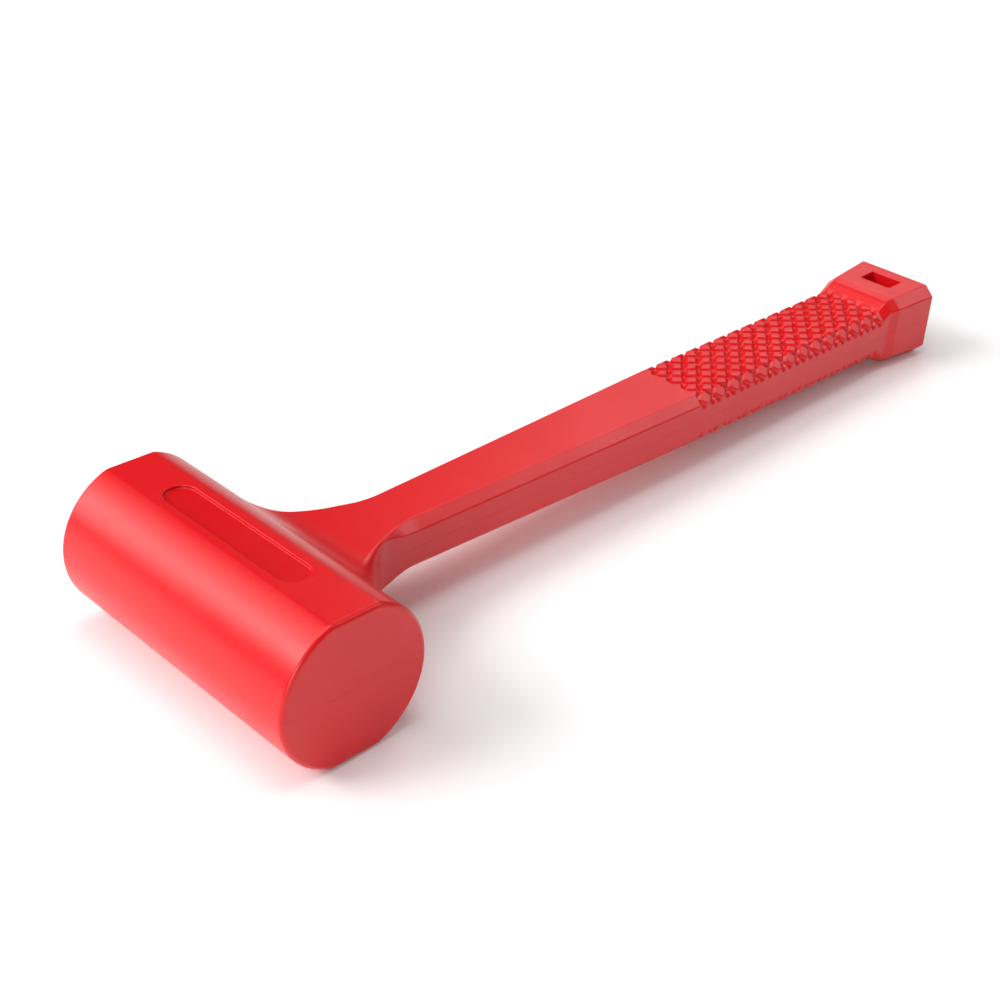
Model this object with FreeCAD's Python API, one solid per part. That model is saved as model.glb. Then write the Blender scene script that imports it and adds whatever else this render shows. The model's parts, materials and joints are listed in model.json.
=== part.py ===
"""Dead blow mallet: one red moulding over a welded steel frame with a loose shot charge.

Frame: the origin is the centre of the head's lower flat, +X runs along the handle to its
butt, +Y runs along the axis of the head and +Z is up.  All lengths are in millimetres.
"""
import FreeCAD
import Part
import math
import os

Vec = FreeCAD.Vector
X_DIR = Vec(1, 0, 0)
Y_DIR = Vec(0, 1, 0)
Z_DIR = Vec(0, 0, 1)

# ---- head of the moulding ----
HEAD_DIAMETER = 50.8        # face diameter, the nominal 2 inch size
HEAD_LENGTH = 105.9         # from strike face to strike face
HEAD_FLAT_DEPTH = 1.35      # how far the upper and the lower flat cut into the round
FACE_EDGE_RADIUS = 1.6      # rounding around each strike face

# ---- recessed panel in the upper flat ----
PANEL_END_MARGIN = 21.75    # from each end of the panel to the nearer strike face
PANEL_WIDTH = 10.5
PANEL_DEPTH = 1.0

# ---- neck, where the handle spreads into the head ----
NECK_REACH = 34.6           # how far the spread runs out from the side of the head
NECK_BLEND_RADIUS = 20.0    # where its upper and lower faces curve into the head

# ---- handle: an eight-sided bar that widens towards the hand ----
HANDLE_BEVEL = 3.2          # height and width of the four long bevels
NECK_HALF_WIDTH = 11.8
NECK_HALF_HEIGHT = 8.9
SHAFT_LENGTH = 128.8        # plain stretch between the neck and the grip
GRIP_HALF_WIDTH = 15.4      # where the grip starts
GRIP_HALF_HEIGHT = 9.8
GRIP_LENGTH = 111.0
GRIP_END_HALF_WIDTH = 15.9
GRIP_END_HALF_HEIGHT = 10.0

# ---- grip studs, on the upper and lower side of the handle ----
STUD_PITCH_X = 8.2          # from stud to stud along the handle
STUD_PITCH_Y = 7.0          # from stud to stud across it
STUD_GROOVE_WIDTH = 1.3
STUD_HEIGHT = 1.0

# ---- butt ----
BUTT_RISE_LENGTH = 4.4      # steep part of the rise, above and below
BUTT_RISE_HALF_HEIGHT = 12.8
BUTT_SHOULDER_LENGTH = 4.0  # the sides step out along it
BUTT_SHOULDER_HALF_WIDTH = 17.3
BUTT_SHOULDER_HALF_HEIGHT = 13.8
BUTT_LENGTH = 21.1          # from the shoulder to the end face
BUTT_HALF_WIDTH = 19.1      # at the end face
BUTT_HALF_HEIGHT = 14.6
BUTT_BEVEL = 3.9
BUTT_EDGE_RADIUS = 1.2      # rounding around the end face
HANG_SLOT_END_COVER = 5.9   # moulding left between the slot and the end face
HANG_SLOT_LENGTH = 8.4      # along the handle
HANG_SLOT_WIDTH = 13.4      # across the handle

# ---- steel canister inside the head ----
CANISTER_SIDE_COVER = 6.35  # moulding around the canister
CANISTER_END_COVER = 10.95  # moulding between the canister and each strike face
CANISTER_WALL = 2.0
CAP_THICKNESS = 3.0
CAP_SETBACK = 1.5           # how far each cap sits inside the tube; its weld fills the corner

# ---- loose steel shot ----
SHOT_DIAMETER = 6.35
SHOT_CLEARANCE = 0.05       # between neighbouring balls
SHOT_WALL_CLEARANCE = 0.3   # between the charge and the tube
SHOT_FREE_LENGTH = 21.5     # least length of the canister that the charge leaves empty

# ---- steel rod inside the handle ----
ROD_DIAMETER = 9.5
ROD_END_COVER = 15.0        # moulding left between the rod's end and the hang slot
ROD_WELD_LEG = 3.0

# ---- derived places ----
HEAD_RADIUS = HEAD_DIAMETER / 2.0
HEAD_ACROSS_FLATS = HEAD_DIAMETER - 2.0 * HEAD_FLAT_DEPTH
AXIS_Z = HEAD_ACROSS_FLATS / 2.0
PANEL_LENGTH = HEAD_LENGTH - 2.0 * PANEL_END_MARGIN
NECK_END_X = HEAD_RADIUS + NECK_REACH
GRIP_START_X = NECK_END_X + SHAFT_LENGTH
GRIP_END_X = GRIP_START_X + GRIP_LENGTH
CANISTER_DIAMETER = HEAD_DIAMETER - 2.0 * CANISTER_SIDE_COVER
CANISTER_LENGTH = HEAD_LENGTH - 2.0 * CANISTER_END_COVER
BORE_RADIUS = CANISTER_DIAMETER / 2.0 - CANISTER_WALL
CAP_OUTER_Y = CANISTER_LENGTH / 2.0 - CAP_SETBACK
CAP_INNER_Y = CAP_OUTER_Y - CAP_THICKNESS
BUTT_RISE_END_X = GRIP_END_X + BUTT_RISE_LENGTH
BUTT_SHOULDER_END_X = BUTT_RISE_END_X + BUTT_SHOULDER_LENGTH
BUTT_END_X = BUTT_SHOULDER_END_X + BUTT_LENGTH
HANG_SLOT_START_X = BUTT_END_X - HANG_SLOT_END_COVER - HANG_SLOT_LENGTH
ROD_END_X = HANG_SLOT_START_X - ROD_END_COVER
CUT_MARGIN = 2.0            # how far a cutting solid runs past the surface that it cuts


def cylinder_y(radius, length):
    """A cylinder along Y, centred on the head's axis."""
    return Part.makeCylinder(radius, length, Vec(0, -length / 2.0, AXIS_Z), Y_DIR)


def block(x_start, x_end, half_width, z_low, z_high):
    """A box that is centred on the handle's mid-plane."""
    corner = Vec(x_start, -half_width, z_low)
    return Part.makeBox(x_end - x_start, 2.0 * half_width, z_high - z_low, corner)


def closed_face(points):
    """A flat face inside the closed outline through the points."""
    return Part.Face(Part.makePolygon(points + [points[0]]))


def bar_section(x, half_width, half_height, bevel):
    """Outline of the eight-sided handle at one place along it."""
    inner_y = half_width - bevel
    inner_z = half_height - bevel
    quarter = [(half_width, inner_z), (inner_y, half_height)]
    upper = quarter + [(-y, z) for y, z in reversed(quarter)]
    lower = [(-y, -z) for y, z in upper]
    points = [Vec(x, y, AXIS_Z + z) for y, z in upper + lower]
    return Part.makePolygon(points + [points[0]])


def head_solid():
    """Round head with two flats and rounded strike faces."""
    round_bar = cylinder_y(HEAD_RADIUS, HEAD_LENGTH)
    rims = [edge for edge in round_bar.Edges if len(edge.Vertexes) == 1]
    rounded_bar = round_bar.makeFillet(FACE_EDGE_RADIUS, rims)
    slab = Part.makeBox(
        HEAD_DIAMETER, HEAD_LENGTH, HEAD_ACROSS_FLATS, Vec(-HEAD_RADIUS, -HEAD_LENGTH / 2.0, 0)
    )
    return rounded_bar.common(slab)


def panel_cut():
    """Long round-ended recess in the upper flat."""
    radius = PANEL_WIDTH / 2.0
    straight = PANEL_LENGTH - PANEL_WIDTH
    floor_z = HEAD_ACROSS_FLATS - PANEL_DEPTH
    height = PANEL_DEPTH + CUT_MARGIN
    middle = Part.makeBox(PANEL_WIDTH, straight, height, Vec(-radius, -straight / 2.0, floor_z))
    ends = [
        Part.makeCylinder(radius, height, Vec(0, side * straight / 2.0, floor_z), Z_DIR)
        for side in (-1, 1)
    ]
    return middle.fuse(ends)


def neck_plan():
    """Neck seen from above: two concave sides that run from the handle out to the head."""
    flat_edge_y = NECK_HALF_WIDTH - HANDLE_BEVEL
    wide_y = flat_edge_y + NECK_REACH
    mid_x = NECK_END_X - NECK_REACH * math.sin(math.pi / 4.0)
    mid_y = wide_y - NECK_REACH * math.cos(math.pi / 4.0)
    side_arcs = [
        Part.Arc(
            Vec(HEAD_RADIUS, side * wide_y, 0),
            Vec(mid_x, side * mid_y, 0),
            Vec(NECK_END_X, side * flat_edge_y, 0),
        ).toShape()
        for side in (-1, 1)
    ]
    handle_line = Part.makeLine(
        Vec(NECK_END_X, -flat_edge_y, 0), Vec(NECK_END_X, flat_edge_y, 0)
    )
    head_lines = Part.makePolygon(
        [
            Vec(HEAD_RADIUS, -wide_y, 0),
            Vec(0, -wide_y, 0),
            Vec(0, wide_y, 0),
            Vec(HEAD_RADIUS, wide_y, 0),
        ]
    )
    edges = side_arcs + [handle_line] + head_lines.Edges
    face = Part.Face(Part.Wire(Part.__sortEdges__(edges)))
    return face.extrude(Vec(0, 0, HEAD_ACROSS_FLATS))


def neck_profile():
    """Neck seen from the side: its upper and lower faces curve into the round of the head."""
    y = -HEAD_LENGTH / 2.0
    reach = HEAD_RADIUS + NECK_BLEND_RADIUS
    center_z = NECK_HALF_HEIGHT + NECK_BLEND_RADIUS
    center_x = math.sqrt(reach ** 2 - center_z ** 2)
    touch_x = center_x * HEAD_RADIUS / reach
    touch_z = center_z * HEAD_RADIUS / reach
    middle_angle = (math.atan2(center_z, center_x) + math.pi / 2.0) / 2.0
    mid_x = center_x - NECK_BLEND_RADIUS * math.cos(middle_angle)
    mid_z = center_z - NECK_BLEND_RADIUS * math.sin(middle_angle)
    blends = [
        Part.Arc(
            Vec(touch_x, y, AXIS_Z + side * touch_z),
            Vec(mid_x, y, AXIS_Z + side * mid_z),
            Vec(center_x, y, AXIS_Z + side * NECK_HALF_HEIGHT),
        ).toShape()
        for side in (-1, 1)
    ]
    outlines = [
        Part.makePolygon(
            [
                Vec(join_x, y, AXIS_Z - join_z),
                Vec(end_x, y, AXIS_Z - join_z),
                Vec(end_x, y, AXIS_Z + join_z),
                Vec(join_x, y, AXIS_Z + join_z),
            ]
        )
        for join_x, join_z, end_x in (
            (center_x, NECK_HALF_HEIGHT, NECK_END_X),
            (touch_x, touch_z, 0.0),
        )
    ]
    edges = blends + outlines[0].Edges + outlines[1].Edges
    face = Part.Face(Part.Wire(Part.__sortEdges__(edges)))
    return face.extrude(Vec(0, HEAD_LENGTH, 0))


def neck_spread():
    """The neck as it is seen both from above and from the side."""
    return neck_plan().common(neck_profile())


def handle_bar():
    """Eight-sided bar from inside the head to the start of the butt."""
    slope_width = (GRIP_HALF_WIDTH - NECK_HALF_WIDTH) / (GRIP_START_X - NECK_END_X)
    start_half_width = NECK_HALF_WIDTH - slope_width * NECK_END_X
    sections = [
        bar_section(0.0, start_half_width, NECK_HALF_HEIGHT, HANDLE_BEVEL),
        bar_section(NECK_END_X, NECK_HALF_WIDTH, NECK_HALF_HEIGHT, HANDLE_BEVEL),
        bar_section(GRIP_START_X, GRIP_HALF_WIDTH, GRIP_HALF_HEIGHT, HANDLE_BEVEL),
        bar_section(GRIP_END_X, GRIP_END_HALF_WIDTH, GRIP_END_HALF_HEIGHT, HANDLE_BEVEL),
        bar_section(
            BUTT_RISE_END_X, GRIP_END_HALF_WIDTH, BUTT_RISE_HALF_HEIGHT, HANDLE_BEVEL
        ),
        bar_section(
            BUTT_SHOULDER_END_X, BUTT_SHOULDER_HALF_WIDTH, BUTT_SHOULDER_HALF_HEIGHT, BUTT_BEVEL
        ),
        bar_section(BUTT_END_X, BUTT_HALF_WIDTH, BUTT_HALF_HEIGHT, BUTT_BEVEL),
    ]
    bar = Part.makeLoft(sections, True, True)
    end_edges = [
        edge
        for edge in bar.Edges
        if all(abs(vertex.X - BUTT_END_X) < 0.001 for vertex in edge.Vertexes)
    ]
    return bar.makeFillet(BUTT_EDGE_RADIUS, end_edges)


def stud_layer_outline(x, half_width, half_height):
    """Outline of the surface layer that the studs stand in, on the upper side of the grip."""
    side_z = half_height - HANDLE_BEVEL - STUD_HEIGHT * math.sqrt(2.0)
    floor_z = half_height - STUD_HEIGHT
    floor_y = half_width - HANDLE_BEVEL - STUD_HEIGHT * (math.sqrt(2.0) - 1.0)
    outer_y = half_width + CUT_MARGIN
    half = [
        (floor_y, floor_z),
        (half_width, side_z),
        (outer_y, side_z - CUT_MARGIN),
        (outer_y, half_height + CUT_MARGIN),
    ]
    mirrored = [(-y, z) for y, z in reversed(half)]
    points = [Vec(x, y, AXIS_Z + z) for y, z in half + mirrored]
    return Part.makePolygon(points + [points[0]])


def stud_prism(center_x, center_y, half_x, half_y):
    """Tall diamond-shaped prism that stands where one stud is left."""
    low_z = AXIS_Z
    outline = [
        Vec(center_x + half_x, center_y, low_z),
        Vec(center_x, center_y + half_y, low_z),
        Vec(center_x - half_x, center_y, low_z),
        Vec(center_x, center_y - half_y, low_z),
    ]
    return closed_face(outline).extrude(Vec(0, 0, BUTT_HALF_HEIGHT))


def grip_relief():
    """The net of grooves that is cut into the upper side of the grip, between its studs."""
    layer = Part.makeLoft(
        [
            stud_layer_outline(GRIP_START_X, GRIP_HALF_WIDTH, GRIP_HALF_HEIGHT),
            stud_layer_outline(GRIP_END_X, GRIP_END_HALF_WIDTH, GRIP_END_HALF_HEIGHT),
            stud_layer_outline(BUTT_RISE_END_X, GRIP_END_HALF_WIDTH, BUTT_RISE_HALF_HEIGHT),
        ],
        True,
        True,
    )
    step_x = STUD_PITCH_X / 2.0
    step_y = STUD_PITCH_Y / 2.0
    groove_angle = math.atan2(STUD_PITCH_Y, STUD_PITCH_X)
    half_x = step_x - STUD_GROOVE_WIDTH / 2.0 / math.sin(groove_angle)
    half_y = step_y - STUD_GROOVE_WIDTH / 2.0 / math.cos(groove_angle)
    last_column = math.ceil((BUTT_RISE_END_X - GRIP_START_X) / step_x)
    last_row = math.ceil(GRIP_END_HALF_WIDTH / step_y)
    studs = [
        stud_prism(GRIP_START_X + column * step_x, row * step_y, half_x, half_y)
        for column in range(last_column + 1)
        for row in range(-last_row, last_row + 1)
        if (column + row) % 2 == 1
    ]
    return layer.cut(Part.makeCompound(studs))


def hang_slot_cut():
    """Rectangular hole through the butt."""
    return block(
        HANG_SLOT_START_X,
        HANG_SLOT_START_X + HANG_SLOT_LENGTH,
        HANG_SLOT_WIDTH / 2.0,
        AXIS_Z - BUTT_HALF_HEIGHT - CUT_MARGIN,
        AXIS_Z + BUTT_HALF_HEIGHT + CUT_MARGIN,
    )


def rod_solid():
    """Core rod, coped at one end to the round of the canister."""
    rod = Part.makeCylinder(ROD_DIAMETER / 2.0, ROD_END_X, Vec(0, 0, AXIS_Z), X_DIR)
    return rod.cut(cylinder_y(CANISTER_DIAMETER / 2.0, CANISTER_LENGTH))


def rod_weld_solid():
    """Fillet weld around the coped end of the rod."""
    foot_x = math.sqrt((CANISTER_DIAMETER / 2.0) ** 2 - (ROD_DIAMETER / 2.0 + ROD_WELD_LEG) ** 2)
    top_x = CANISTER_DIAMETER / 2.0 + ROD_WELD_LEG
    cone = Part.makeCone(
        ROD_DIAMETER / 2.0 + ROD_WELD_LEG,
        ROD_DIAMETER / 2.0,
        top_x - foot_x,
        Vec(foot_x, 0, AXIS_Z),
        X_DIR,
    )
    bare_rod = Part.makeCylinder(ROD_DIAMETER / 2.0, top_x, Vec(0, 0, AXIS_Z), X_DIR)
    return cone.cut(cylinder_y(CANISTER_DIAMETER / 2.0, CANISTER_LENGTH)).cut(bare_rod)


def canister_tube_solid():
    """Steel tube that holds the shot."""
    outer = cylinder_y(CANISTER_DIAMETER / 2.0, CANISTER_LENGTH)
    return outer.cut(cylinder_y(BORE_RADIUS, CANISTER_LENGTH + CUT_MARGIN))


def cap_solid(side):
    """Steel disc that closes one end of the tube; side is -1 or 1."""
    return Part.makeCylinder(
        BORE_RADIUS, CAP_THICKNESS, Vec(0, side * CAP_INNER_Y, AXIS_Z), Y_DIR * side
    )


def cap_weld_solid(side):
    """Fillet weld in the corner between one cap and the tube."""
    outline = [
        Vec(BORE_RADIUS, side * CAP_OUTER_Y, AXIS_Z),
        Vec(BORE_RADIUS - CAP_SETBACK, side * CAP_OUTER_Y, AXIS_Z),
        Vec(BORE_RADIUS, side * (CAP_OUTER_Y + CAP_SETBACK), AXIS_Z),
    ]
    return closed_face(outline).revolve(Vec(0, 0, AXIS_Z), Y_DIR, 360)


def shot_layer(shift_x, shift_z, reach):
    """Places of the balls in one close-packed layer that keep within the reach of the axis."""
    pitch = SHOT_DIAMETER + SHOT_CLEARANCE
    row_pitch = pitch * math.sqrt(3.0) / 2.0
    count = math.ceil(reach / row_pitch) + 1
    steps = range(-count, count + 1)
    grid = [
        (shift_x + (column + row / 2.0) * pitch, shift_z + row * row_pitch)
        for row in steps
        for column in steps
    ]
    return [(x, z) for x, z in grid if math.hypot(x, z) <= reach]


def shot_places():
    """Centres of the balls: close-packed layers along the tube that lie on its lower side."""
    pitch = SHOT_DIAMETER + SHOT_CLEARANCE
    layer_pitch = pitch * math.sqrt(2.0 / 3.0)
    charge_length = 2.0 * CAP_INNER_Y - SHOT_FREE_LENGTH
    layers = math.floor((charge_length - SHOT_DIAMETER) / layer_pitch) + 1
    reach = BORE_RADIUS - SHOT_WALL_CLEARANCE - SHOT_DIAMETER / 2.0
    kinds = [
        shot_layer(0.0, 0.0, reach),
        shot_layer(pitch / 2.0, pitch / math.sqrt(12.0), reach),
    ]
    drop = min(z + math.sqrt(reach ** 2 - x ** 2) for x, z in kinds[0] + kinds[1])
    return [
        Vec(x, (layer - (layers - 1) / 2.0) * layer_pitch, AXIS_Z + z - drop)
        for layer in range(layers)
        for x, z in kinds[layer % 2]
    ]


def shot_solids():
    """The loose balls, each a solid of its own."""
    balls = [Part.makeSphere(SHOT_DIAMETER / 2.0, place) for place in shot_places()]
    return Part.makeCompound(balls)


def steel_envelope():
    """Space that the welded steel frame takes up inside the moulding."""
    closed_canister = cylinder_y(CANISTER_DIAMETER / 2.0, CANISTER_LENGTH)
    filled_ends = []
    for side in (-1, 1):
        pocket = Part.makeCylinder(
            BORE_RADIUS, CAP_SETBACK, Vec(0, side * CAP_OUTER_Y, AXIS_Z), Y_DIR * side
        )
        filled_ends.append(pocket.cut(cap_weld_solid(side)))
    return closed_canister.cut(filled_ends).fuse([rod_solid(), rod_weld_solid()])


def body_solid():
    """The one-piece moulding: head, neck, handle, grip and butt around the steel frame."""
    outside = handle_bar().fuse([head_solid(), neck_spread()]).removeSplitter()
    upper_relief = grip_relief()
    lower_relief = upper_relief.mirror(Vec(0, 0, AXIS_Z), Z_DIR)
    shaped = outside.cut([upper_relief, lower_relief])
    shaped = shaped.cut([panel_cut(), hang_slot_cut()])
    return shaped.cut(steel_envelope())


def write_step(name, shape):
    """Write one node's STEP file."""
    shape.exportStep(os.path.join("parts", name + ".step"))
    print(name, "solids", len(shape.Solids), "volume", round(shape.Volume, 1), shape.isValid())


os.makedirs("parts", exist_ok=True)
write_step("body_moulding", body_solid())
write_step("canister_tube", canister_tube_solid())
write_step("canister_cap_near", cap_solid(-1))
write_step("canister_cap_far", cap_solid(1))
write_step("cap_weld_near", cap_weld_solid(-1))
write_step("cap_weld_far", cap_weld_solid(1))
write_step("handle_rod", rod_solid())
write_step("rod_weld", rod_weld_solid())
write_step("steel_shot", shot_solids())
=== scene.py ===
"""Looks of a dead blow mallet: one red moulding over a welded steel frame with a loose shot charge.

Lengths are in metres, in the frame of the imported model: the origin is the centre of the head's
lower flat, +X runs along the handle to its butt, +Y along the axis of the head and +Z is up.
"""
import json
import logging
import math
from collections.abc import Iterable, Sequence
from dataclasses import dataclass, field
from enum import Enum

import bpy
import numpy as np
from mathutils import Matrix, Vector


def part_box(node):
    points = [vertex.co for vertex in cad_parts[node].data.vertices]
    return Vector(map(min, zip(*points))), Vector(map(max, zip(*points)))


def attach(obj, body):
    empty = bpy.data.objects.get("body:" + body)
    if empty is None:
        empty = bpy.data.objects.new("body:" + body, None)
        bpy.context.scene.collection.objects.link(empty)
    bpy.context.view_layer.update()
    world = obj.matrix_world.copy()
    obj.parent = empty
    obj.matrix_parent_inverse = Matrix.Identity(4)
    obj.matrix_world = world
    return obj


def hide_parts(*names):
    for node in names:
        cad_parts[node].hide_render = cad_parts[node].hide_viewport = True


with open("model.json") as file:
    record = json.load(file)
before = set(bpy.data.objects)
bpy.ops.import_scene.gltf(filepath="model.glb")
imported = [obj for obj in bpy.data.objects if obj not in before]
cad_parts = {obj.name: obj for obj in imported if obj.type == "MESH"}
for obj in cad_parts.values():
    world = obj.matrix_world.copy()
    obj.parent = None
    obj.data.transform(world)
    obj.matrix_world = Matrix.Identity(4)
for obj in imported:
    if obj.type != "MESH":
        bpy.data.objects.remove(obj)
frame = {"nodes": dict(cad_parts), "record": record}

LOG = logging.getLogger("mallet")
MM = 0.001
TOUCH = 0.001 * MM
SMOOTH_ANGLE = math.radians(38.0)
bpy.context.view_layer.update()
NEAR_FACE = "near_strike_face"
FAR_FACE = "far_strike_face"

Point = tuple[float, float, float]
Colour = tuple[float, float, float]
Feed = bpy.types.NodeSocket | Colour | float


class CutMode(Enum):
    """How a tool solid changes the solid that it is used on."""

    JOIN = "UNION"
    CUT = "DIFFERENCE"


class BodyName(Enum):
    """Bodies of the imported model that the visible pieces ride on."""

    MALLET = "mallet"
    SHOT = "shot_charge"


# ---------------------------------------------------------------- mesh helpers


def deselect_all() -> None:
    """Leave no object selected."""
    for item in bpy.context.selected_objects:
        item.select_set(False)


def make_active(item: bpy.types.Object) -> None:
    """Select one object alone and make it the active one."""
    deselect_all()
    item.select_set(True)
    bpy.context.view_layer.objects.active = item


def settle(item: bpy.types.Object) -> None:
    """Move an object's place, turn and size into its mesh."""
    make_active(item)
    bpy.ops.object.transform_apply(location=True, rotation=True, scale=True)


def skin_over(name: str, rings: np.ndarray) -> bpy.types.Object:
    """Make a closed solid by laying a grid over a row of closed outlines.

    Args:
        name: name of the new object.
        rings: points of the outlines, as (ring, point, xyz); each outline has as many points.

    Returns:
        The new object, with both end outlines filled and its faces pointing outwards.
    """
    ring_count, point_count, _ = rings.shape
    deselect_all()
    bpy.ops.mesh.primitive_grid_add(
        x_subdivisions=point_count, y_subdivisions=ring_count - 1, size=1.0
    )
    item = bpy.context.object
    item.name = name
    flat = np.zeros(len(item.data.vertices) * 3)
    item.data.vertices.foreach_get("co", flat)
    flat = flat.reshape(-1, 3)
    column = np.rint((flat[:, 0] + 0.5) * point_count).astype(int)
    row = np.rint((flat[:, 1] + 0.5) * (ring_count - 1)).astype(int)
    placed = rings[row, column % point_count]
    item.data.vertices.foreach_set("co", placed.astype(np.float32).ravel())
    item.data.update()
    bpy.ops.object.mode_set(mode="EDIT")
    bpy.ops.mesh.select_all(action="SELECT")
    bpy.ops.mesh.remove_doubles(threshold=TOUCH)
    bpy.ops.mesh.select_all(action="SELECT")
    bpy.ops.mesh.fill_holes(sides=0)
    bpy.ops.mesh.select_all(action="SELECT")
    bpy.ops.mesh.normals_make_consistent(inside=False)
    bpy.ops.object.mode_set(mode="OBJECT")
    return item


def use_tool(target: bpy.types.Object, tool: bpy.types.Object, mode: CutMode) -> None:
    """Join a tool solid to a target solid, or cut it out of it, and remove the tool.

    Args:
        target: the solid that stays.
        tool: the solid that is used up.
        mode: whether the tool is joined or cut out.
    """
    make_active(target)
    change = target.modifiers.new("change", "BOOLEAN")
    change.operation = mode.value
    change.solver = "MANIFOLD"
    change.object = tool
    bpy.ops.object.modifier_apply(modifier=change.name)
    bpy.data.objects.remove(tool, do_unlink=True)


def turned_outline(profile: Sequence[tuple[float, float]], count: int) -> np.ndarray:
    """Turn a profile of (along, radius) pairs round an axis.

    Args:
        profile: places along the axis, each with its radius.
        count: how many points go round.

    Returns:
        Rings of (along, across, up) points, as (ring, point, 3).
    """
    angles = np.linspace(0.0, math.tau, count, endpoint=False)
    rings = [
        np.stack([np.full(count, along), radius * np.cos(angles), radius * np.sin(angles)], axis=1)
        for along, radius in profile
    ]
    return np.array(rings)


def rounded_rectangle(half_x: float, half_y: float, radius: float, corner_steps: int) -> np.ndarray:
    """Outline of a rectangle with round corners, as (point, xy).

    Args:
        half_x: half its size along X.
        half_y: half its size along Y.
        radius: radius of its corners.
        corner_steps: how many steps each corner takes.

    Returns:
        The points, in order round the outline.
    """
    points = []
    for quarter in range(4):
        sign_x = 1.0 if quarter in (0, 3) else -1.0
        sign_y = 1.0 if quarter in (0, 1) else -1.0
        for step in range(corner_steps + 1):
            angle = math.pi / 2.0 * (quarter + step / corner_steps)
            x = sign_x * (half_x - radius) + radius * math.cos(angle)
            y = sign_y * (half_y - radius) + radius * math.sin(angle)
            points.append((x, y))
    return np.array(points)


def quarter_round(radius: float, steps: int) -> list[tuple[float, float]]:
    """Quarter of a circle from its foot to its top, as (distance back, inset) pairs."""
    angles = np.linspace(0.0, math.pi / 2.0, steps + 1)
    return [(radius * (1.0 - math.sin(a)), radius * (1.0 - math.cos(a))) for a in angles]


def smooth_step(value: np.ndarray | float) -> np.ndarray | float:
    """Ease from 0 to 1 with no kink at either end."""
    held = np.clip(value, 0.0, 1.0)
    return held * held * (3.0 - 2.0 * held)


# ---------------------------------------------------------------- the moulding


@dataclass(frozen=True)
class HeadSizes:
    """Sizes of the head of the moulding."""

    radius: float = 25.4 * MM
    edge_radius: float = 1.6 * MM
    panel_length: float = 62.4 * MM
    panel_width: float = 10.5 * MM
    panel_depth: float = 1.0 * MM
    panel_lip: float = 0.28 * MM
    flat_edge: float = 0.12 * MM
    round_steps: int = 360
    rim_steps: int = 6


@dataclass(frozen=True)
class NeckSizes:
    """Sizes of the spread between the handle and the head."""

    reach: float = 34.6 * MM
    blend_radius: float = 20.0 * MM
    sink: float = 0.12 * MM
    edge_radius: float = 1.1 * MM
    root_edge_radius: float = 7.0 * MM
    merge: float = 1.6 * MM
    cut_merge: float = 0.5 * MM
    soft_edge: float = 0.4 * MM
    ease_angle: float = 18.0
    growth_start: float = 26.0
    growth_angle: float = 50.0
    steps: int = 60


@dataclass(frozen=True)
class HandleSizes:
    """Sizes of the eight-sided handle, its grip and its butt."""

    neck_half_width: float = 11.8 * MM
    neck_half_height: float = 8.9 * MM
    bevel: float = 3.2 * MM
    grip_start: float = 188.8 * MM
    grip_half_width: float = 15.4 * MM
    grip_half_height: float = 9.8 * MM
    grip_end: float = 299.8 * MM
    grip_end_half_width: float = 15.9 * MM
    grip_end_half_height: float = 10.0 * MM
    rise_length: float = 4.4 * MM
    rise_half_height: float = 12.8 * MM
    shoulder_length: float = 4.0 * MM
    shoulder_half_width: float = 17.3 * MM
    shoulder_half_height: float = 13.8 * MM
    butt_half_width: float = 19.1 * MM
    butt_half_height: float = 14.6 * MM
    butt_bevel: float = 3.9 * MM
    end_radius: float = 1.2 * MM
    edge_radius: float = 0.9 * MM
    easing: float = 1.1 * MM
    butt_easing: float = 0.4 * MM
    slot_length: float = 8.4 * MM
    slot_width: float = 13.4 * MM
    slot_end_cover: float = 5.9 * MM
    slot_corner: float = 0.7 * MM
    slot_lip: float = 0.45 * MM
    side_steps: int = 4
    top_steps: int = 26


@dataclass(frozen=True)
class StudSizes:
    """Sizes of the net of grooves that leaves the studs of the grip."""

    pitch_x: float = 8.2 * MM
    pitch_y: float = 7.0 * MM
    height: float = 1.0 * MM
    groove_floor: float = 0.22 * MM
    groove_top: float = 0.9 * MM
    border: float = 0.5 * MM
    fine_step: float = 0.48 * MM
    side_reach: float = 1.9 * MM
    side_gap: float = 0.5 * MM
    side_fade: float = 1.2 * MM
    end_gap: float = 1.6 * MM
    end_fade: float = 3.0 * MM

    def depth(self, along: np.ndarray, across: np.ndarray) -> np.ndarray:
        """How deep the net of grooves is at places on the grip.

        Args:
            along: distance from the start of the grip.
            across: distance from the middle of the handle.

        Returns:
            The depth below the plain surface.
        """
        column = along / (self.pitch_x / 2.0)
        row = across / (self.pitch_y / 2.0)
        tilt_a = (column + row + 1.0) / 2.0
        tilt_b = (column - row + 1.0) / 2.0
        off_a = np.abs(tilt_a - np.rint(tilt_a))
        off_b = np.abs(tilt_b - np.rint(tilt_b))
        line_pitch = 2.0 / math.hypot(2.0 / self.pitch_x, 2.0 / self.pitch_y)
        from_groove = line_pitch * (0.5 - np.maximum(off_a, off_b))
        rise = (from_groove - self.groove_floor) / (self.groove_top - self.groove_floor)
        return self.height * (1.0 - smooth_step(rise))


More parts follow.
